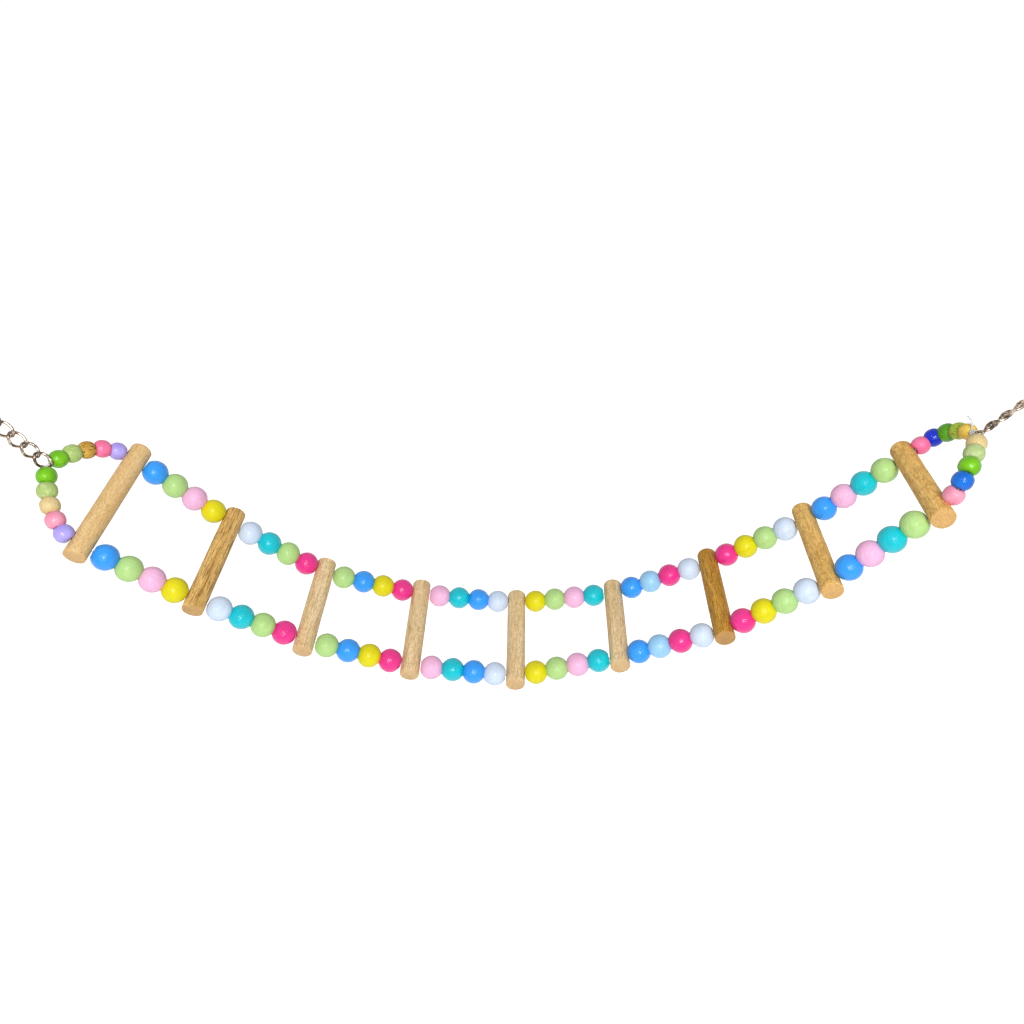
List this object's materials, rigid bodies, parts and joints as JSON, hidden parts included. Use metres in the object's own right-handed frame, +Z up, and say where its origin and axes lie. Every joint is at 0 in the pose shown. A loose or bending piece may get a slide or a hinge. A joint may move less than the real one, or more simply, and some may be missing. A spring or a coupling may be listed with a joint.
{
  "type": "bird ladder",
  "caption": "Hanging toy ladder of wooden rungs strung between two strands of painted wooden beads, with a bead loop, a short curb chain and a wire hook at each end.",
  "frame": {"origin": "the axis of the bar in the bend of the left hook", "axes": "+X along the ladder from the left hook to the right one, +Y from the near strand to the far strand, +Z up"},
  "size_m": [0.5728, 0.0829, 0.2258],
  "materials": {
    "rung_wood": "bare",
    "bead_paint": "gloss paint",
    "left_loop_beads": "gloss paint",
    "right_loop_beads": "gloss paint",
    "nylon_line": "clear",
    "steel": "bright"
  },
  "bodies": {
    "left_hook": {"left_hook": "steel"},
    "left_top_link": {"left_link_5": "steel"},
    "left_chain": {"left_link_1": "steel", "left_link_2": "steel", "left_link_3": "steel", "left_link_4": "steel"},
    "left_loop": {"left_loop_cord": "nylon_line", "left_loop_near_beads": "left_loop_beads", "left_loop_far_beads": "left_loop_beads", "rung_1": "rung_wood"},
    "bay_1": {"near_cord_1": "nylon_line", "far_cord_1": "nylon_line", "rung_2": "rung_wood"},
    "near_beads_1": {"near_beads_1": "bead_paint"},
    "far_beads_1": {"far_beads_1": "bead_paint"},
    "bay_2": {"near_cord_2": "nylon_line", "far_cord_2": "nylon_line", "rung_3": "rung_wood"},
    "near_beads_2": {"near_beads_2": "bead_paint"},
    "far_beads_2": {"far_beads_2": "bead_paint"},
    "bay_3": {"near_cord_3": "nylon_line", "far_cord_3": "nylon_line", "rung_4": "rung_wood"},
    "near_beads_3": {"near_beads_3": "bead_paint"},
    "far_beads_3": {"far_beads_3": "bead_paint"},
    "bay_4": {"near_cord_4": "nylon_line", "far_cord_4": "nylon_line", "rung_5": "rung_wood"},
    "near_beads_4": {"near_beads_4": "bead_paint"},
    "far_beads_4": {"far_beads_4": "bead_paint"},
    "bay_5": {"near_cord_5": "nylon_line", "far_cord_5": "nylon_line", "rung_6": "rung_wood"},
    "near_beads_5": {"near_beads_5": "bead_paint"},
    "far_beads_5": {"far_beads_5": "bead_paint"},
    "bay_6": {"near_cord_6": "nylon_line", "far_cord_6": "nylon_line", "rung_7": "rung_wood"},
    "near_beads_6": {"near_beads_6": "bead_paint"},
    "far_beads_6": {"far_beads_6": "bead_paint"},
    "bay_7": {"near_cord_7": "nylon_line", "far_cord_7": "nylon_line", "rung_8": "rung_wood"},
    "near_beads_7": {"near_beads_7": "bead_paint"},
    "far_beads_7": {"far_beads_7": "bead_paint"},
    "bay_8": {"near_cord_8": "nylon_line", "far_cord_8": "nylon_line", "rung_9": "rung_wood"},
    "near_beads_8": {"near_beads_8": "bead_paint"},
    "far_beads_8": {"far_beads_8": "bead_paint"},
    "right_loop": {"right_loop_cord": "nylon_line", "right_loop_near_beads": "right_loop_beads", "right_loop_far_beads": "right_loop_beads", "cord_knot": "nylon_line"},
    "right_chain": {"right_link_1": "steel", "right_link_2": "steel", "right_link_3": "steel", "right_link_4": "steel"},
    "right_top_link": {"right_link_5": "steel"},
    "right_hook": {"right_hook": "steel"}
  },
  "joints": [
    {"name": "ladder_swing", "type": "hinge", "parent": "left_hook", "child": "left_top_link", "pos_m": [0.00947, 0.00169, -0.02231], "axis": [1, 0.0062, -0.0023], "range_deg": [-32, 32]},
    {"name": "left_chain_pitch", "type": "hinge", "parent": "left_top_link", "child": "left_chain", "pos_m": [0.0121, 0.00217, -0.02851], "axis": [0, -1, 0], "range_deg": [-25, 25]},
    {"name": "left_loop_pitch", "type": "hinge", "parent": "left_chain", "child": "left_loop", "pos_m": [0.02448, 0.00438, -0.05767], "axis": [-0.122, -0.986, -0.1137], "range_deg": [-25, 25]},
    {"name": "rung_1_flex", "type": "hinge", "parent": "left_loop", "child": "bay_1", "pos_m": [0.04833, 0.003, -0.0845], "axis": [-0.122, -0.986, -0.1137], "range_deg": [-20, 15]},
    {"name": "near_beads_1_spin", "type": "hinge", "parent": "bay_1", "child": "near_beads_1", "pos_m": [0.06838, -0.0279, -0.11185], "axis": [0.7106, 0.0192, -0.7033], "continuous": true},
    {"name": "far_beads_1_spin", "type": "hinge", "parent": "bay_1", "child": "far_beads_1", "pos_m": [0.0749, 0.0344, -0.10529], "axis": [0.6716, -0.0637, -0.7382], "continuous": true},
    {"name": "rung_2_flex", "type": "hinge", "parent": "bay_1", "child": "bay_2", "pos_m": [0.09487, 0.003, -0.1327], "axis": [-0.0835, -0.9921, -0.0935], "range_deg": [-20, 15]},
    {"name": "near_beads_2_spin", "type": "hinge", "parent": "bay_2", "child": "near_beads_2", "pos_m": [0.11955, -0.02657, -0.15556], "axis": [0.8056, 0.0201, -0.5921], "continuous": true},
    {"name": "far_beads_2_spin", "type": "hinge", "parent": "bay_2", "child": "far_beads_2", "pos_m": [0.1232, 0.0296, -0.15086], "axis": [0.7751, -0.0802, -0.6267], "continuous": true},
    {"name": "rung_3_flex", "type": "hinge", "parent": "bay_2", "child": "bay_3", "pos_m": [0.14803, 0.003, -0.17349], "axis": [-0.0434, -0.9965, -0.0715], "range_deg": [-20, 15]},
    {"name": "near_beads_3_spin", "type": "hinge", "parent": "bay_3", "child": "near_beads_3", "pos_m": [0.17758, -0.02568, -0.18925], "axis": [0.9138, 0.0063, -0.406], "continuous": true},
    {"name": "far_beads_3_spin", "type": "hinge", "parent": "bay_3", "child": "far_beads_3", "pos_m": [0.17909, 0.0297, -0.1862], "axis": [0.8982, 0.0832, -0.4316], "continuous": true},
    {"name": "rung_4_flex", "type": "hinge", "parent": "bay_3", "child": "bay_4", "pos_m": [0.20875, 0.003, -0.2018], "axis": [-0.0122, -0.9991, -0.04], "range_deg": [-20, 15]},
    {"name": "near_beads_4_spin", "type": "hinge", "parent": "bay_4", "child": "near_beads_4", "pos_m": [0.24166, -0.02673, -0.20761], "axis": [0.9896, -0.0376, -0.1389], "continuous": true},
    {"name": "far_beads_4_spin", "type": "hinge", "parent": "bay_4", "child": "far_beads_4", "pos_m": [0.24202, 0.03274, -0.20645], "axis": [0.9846, 0.0079, -0.1745], "continuous": true},
    {"name": "rung_5_flex", "type": "hinge", "parent": "bay_4", "child": "bay_5", "pos_m": [0.27492, 0.003, -0.21228], "axis": [0, -1, 0], "range_deg": [-20, 15]},
    {"name": "near_beads_5_spin", "type": "hinge", "parent": "bay_5", "child": "near_beads_5", "pos_m": [0.30786, -0.02523, -0.20653], "axis": [0.9817, 0.0823, 0.1715], "continuous": true},
    {"name": "far_beads_5_spin", "type": "hinge", "parent": "bay_5", "child": "far_beads_5", "pos_m": [0.30819, 0.03274, -0.20763], "axis": [0.9903, -0.0078, 0.1384], "continuous": true},
    {"name": "rung_6_flex", "type": "hinge", "parent": "bay_5", "child": "bay_6", "pos_m": [0.3411, 0.003, -0.2018], "axis": [-0.0122, -0.9991, 0.04], "range_deg": [-20, 15]},
    {"name": "near_beads_6_spin", "type": "hinge", "parent": "bay_6", "child": "near_beads_6", "pos_m": [0.37085, -0.02418, -0.18599], "axis": [0.8961, -0.0509, 0.4409], "continuous": true},
    {"name": "far_beads_6_spin", "type": "hinge", "parent": "bay_6", "child": "far_beads_6", "pos_m": [0.37213, 0.03319, -0.18946], "axis": [0.9147, 0.0211, 0.4035], "continuous": true},
    {"name": "rung_7_flex", "type": "hinge", "parent": "bay_6", "child": "bay_7", "pos_m": [0.40182, 0.003, -0.17349], "axis": [-0.0315, -0.9964, 0.0788], "range_deg": [-20, 15]},
    {"name": "near_beads_7_spin", "type": "hinge", "parent": "bay_7", "child": "near_beads_7", "pos_m": [0.42705, -0.02582, -0.15031], "axis": [0.7811, 0.0021, 0.6244], "continuous": true},
    {"name": "far_beads_7_spin", "type": "hinge", "parent": "bay_7", "child": "far_beads_7", "pos_m": [0.42975, 0.03233, -0.1559], "axis": [0.8018, -0.0464, 0.5957], "continuous": true},
    {"name": "rung_8_flex", "type": "hinge", "parent": "bay_7", "child": "bay_8", "pos_m": [0.45498, 0.003, -0.1327], "axis": [-0.062, -0.9916, 0.1133], "range_deg": [-20, 15]},
    {"name": "near_beads_8_spin", "type": "hinge", "parent": "bay_8", "child": "near_beads_8", "pos_m": [0.47525, -0.02466, -0.10415], "axis": [0.6574, 0.0324, 0.7528], "continuous": true},
    {"name": "far_beads_8_spin", "type": "hinge", "parent": "bay_8", "child": "far_beads_8", "pos_m": [0.47951, 0.03018, -0.11141], "axis": [0.6816, -0.0177, 0.7315], "continuous": true},
    {"name": "rung_9_flex", "type": "hinge", "parent": "bay_8", "child": "right_loop", "pos_m": [0.49981, 0.003, -0.08291], "axis": [-0.0923, -0.9845, 0.1494], "range_deg": [-20, 15]},
    {"name": "right_loop_pitch", "type": "hinge", "parent": "right_loop", "child": "right_chain", "pos_m": [0.52221, 0.00768, -0.055], "axis": [-0.0923, -0.9845, 0.1494], "range_deg": [-25, 15]},
    {"name": "right_chain_pitch", "type": "hinge", "parent": "right_chain", "child": "right_top_link", "pos_m": [0.54037, 0.00546, -0.02906], "axis": [0, -1, 0], "range_deg": [-25, 25]},
    {"name": "right_hook_swing", "type": "hinge", "parent": "right_top_link", "child": "right_hook", "pos_m": [0.54423, 0.00499, -0.02354], "axis": [1, 0.0062, -0.0023], "range_deg": [-32, 32]}
  ],
  "couplings": [
    {"joint": "right_hook_swing", "follows": "ladder_swing", "ratio": -1}
  ]
}
